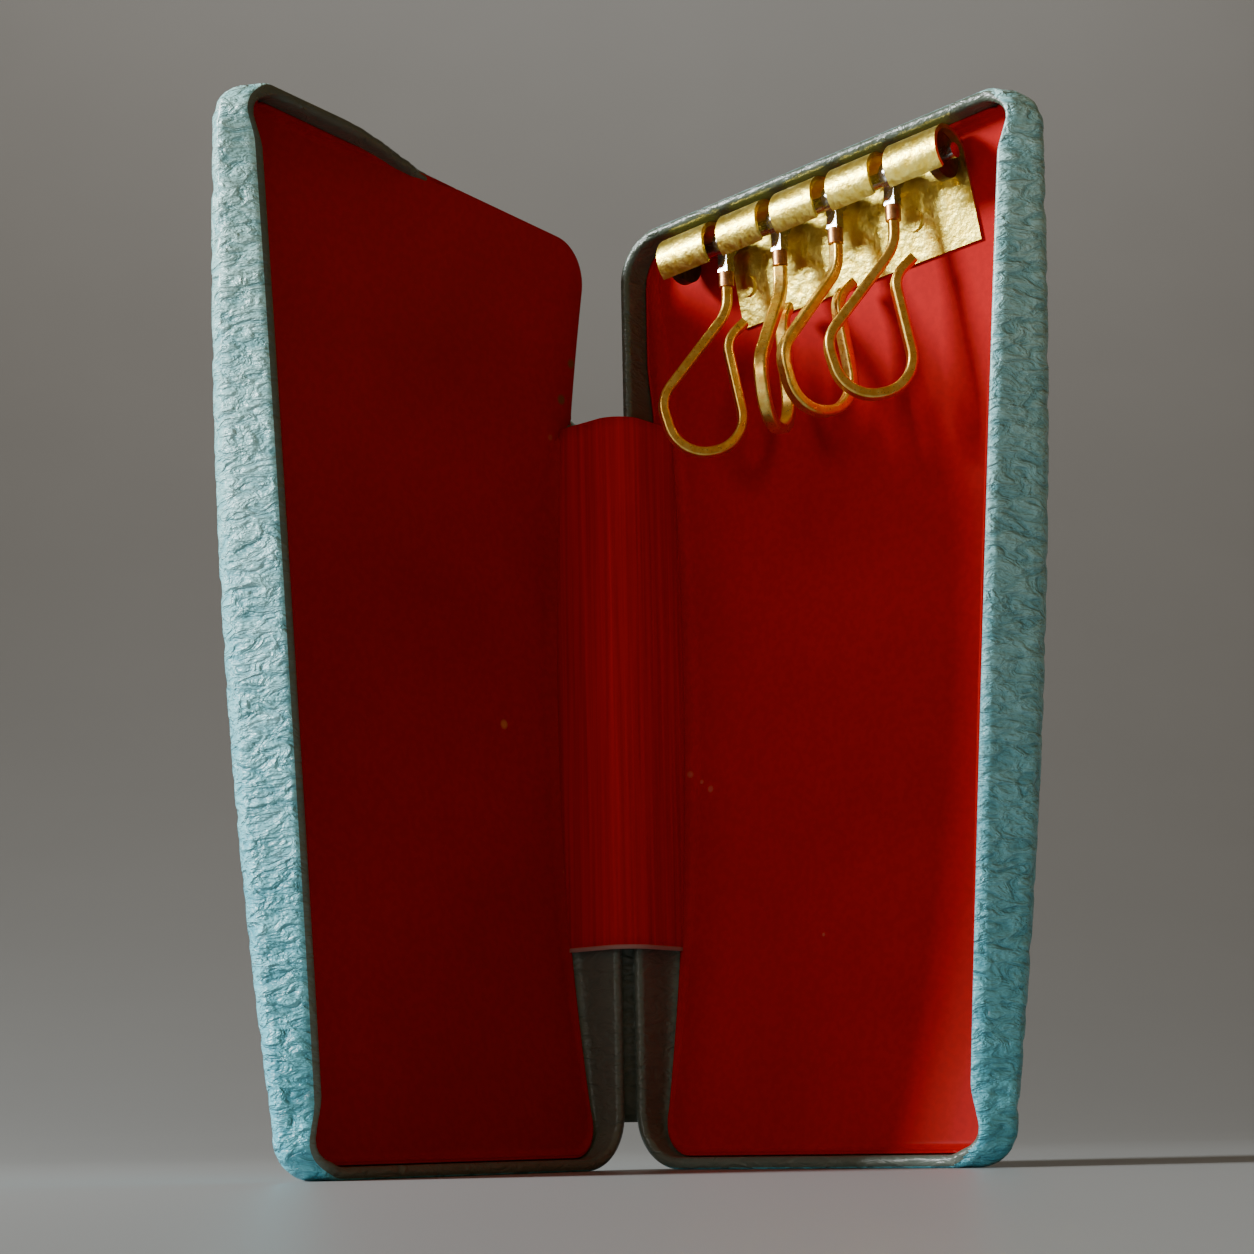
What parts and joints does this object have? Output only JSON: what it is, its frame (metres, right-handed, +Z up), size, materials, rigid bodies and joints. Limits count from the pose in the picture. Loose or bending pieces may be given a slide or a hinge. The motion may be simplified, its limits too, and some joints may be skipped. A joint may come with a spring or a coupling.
{
  "type": "key case",
  "caption": "Hard-shell key case that opens like a book on a spine hinge, with swivelling pear hooks on a slotted bar in one cover.",
  "frame": {"origin": "on the floor, under the middle of the standing open case", "axes": "+Z up along the spine; -Y out of the mouth between the covers; +X towards the cover with the hooks"},
  "size_m": [0.0812, 0.04, 0.1039],
  "materials": {
    "leatherette": "pearly, crinkled",
    "shell_board": "pressed board",
    "crimson_lining": "smooth, slightly glossy",
    "hinge_steel": "plain",
    "bar_brass": "satin, hammered",
    "nickel": "bright",
    "copper": "satin",
    "hook_brass": "polished, worn"
  },
  "bodies": {
    "right_case": {"right_outer_skin": "leatherette", "right_shell": "shell_board", "right_lining": "crimson_lining", "hinge_leaf_right": "hinge_steel", "hinge_rivets_right": "hinge_steel", "hinge_pin": "hinge_steel", "key_bar": "bar_brass", "key_bar_axle": "nickel", "key_bar_plugs": "bar_brass", "key_bar_rivets": "bar_brass", "spine_skin": "leatherette", "spine_lining": "crimson_lining", "hinge_spring": "hinge_steel"},
    "left_cover": {"left_outer_skin": "leatherette", "left_shell": "shell_board", "left_lining": "crimson_lining", "hinge_leaf_left": "hinge_steel", "hinge_rivets_left": "hinge_steel"},
    "link_1": {"hook_link_1": "nickel", "hook_ferrule_1": "copper"},
    "hook_1": {"key_hook_1": "hook_brass"},
    "link_2": {"hook_link_2": "nickel", "hook_ferrule_2": "copper"},
    "hook_2": {"key_hook_2": "hook_brass"},
    "link_3": {"hook_link_3": "nickel", "hook_ferrule_3": "copper"},
    "hook_3": {"key_hook_3": "hook_brass"},
    "link_4": {"hook_link_4": "nickel", "hook_ferrule_4": "copper"},
    "hook_4": {"key_hook_4": "hook_brass"}
  },
  "joints": [
    {"name": "cover_hinge", "type": "hinge", "parent": "right_case", "child": "left_cover", "pos_m": [0, 0.01513, 0], "axis": [0, 0, -1], "range_deg": [-92, 88], "deforming": ["spine_skin", "spine_lining", "hinge_spring"]},
    {"name": "link_swing_1", "type": "hinge", "parent": "right_case", "child": "link_1", "pos_m": [0.01137, 0.00584, 0.09662], "axis": [-0.7097, 0.7009, -0.0711], "range_deg": [0, 95]},
    {"name": "hook_swivel_1", "type": "hinge", "parent": "link_1", "child": "hook_1", "pos_m": [0.01137, 0.00584, 0.09262], "axis": [0, 0, 1], "range_deg": [-36, 49]},
    {"name": "link_swing_2", "type": "hinge", "parent": "right_case", "child": "link_2", "pos_m": [0.01652, 0.00075, 0.09713], "axis": [-0.7097, 0.7009, -0.0711], "range_deg": [0, 95]},
    {"name": "hook_swivel_2", "type": "hinge", "parent": "link_2", "child": "hook_2", "pos_m": [0.01652, 0.00075, 0.09313], "axis": [0, 0, 1], "range_deg": [-58, 3]},
    {"name": "link_swing_3", "type": "hinge", "parent": "right_case", "child": "link_3", "pos_m": [0.02167, -0.00433, 0.09765], "axis": [-0.7097, 0.7009, -0.0711], "range_deg": [0, 95]},
    {"name": "hook_swivel_3", "type": "hinge", "parent": "link_3", "child": "hook_3", "pos_m": [0.02167, -0.00433, 0.09365], "axis": [0, 0, 1], "range_deg": [-10, 23]},
    {"name": "link_swing_4", "type": "hinge", "parent": "right_case", "child": "link_4", "pos_m": [0.02682, -0.00942, 0.09817], "axis": [-0.7097, 0.7009, -0.0711], "range_deg": [0, 95]},
    {"name": "hook_swivel_4", "type": "hinge", "parent": "link_4", "child": "hook_4", "pos_m": [0.02682, -0.00942, 0.09417], "axis": [0, 0, 1], "range_deg": [-26, 49]}
  ]
}
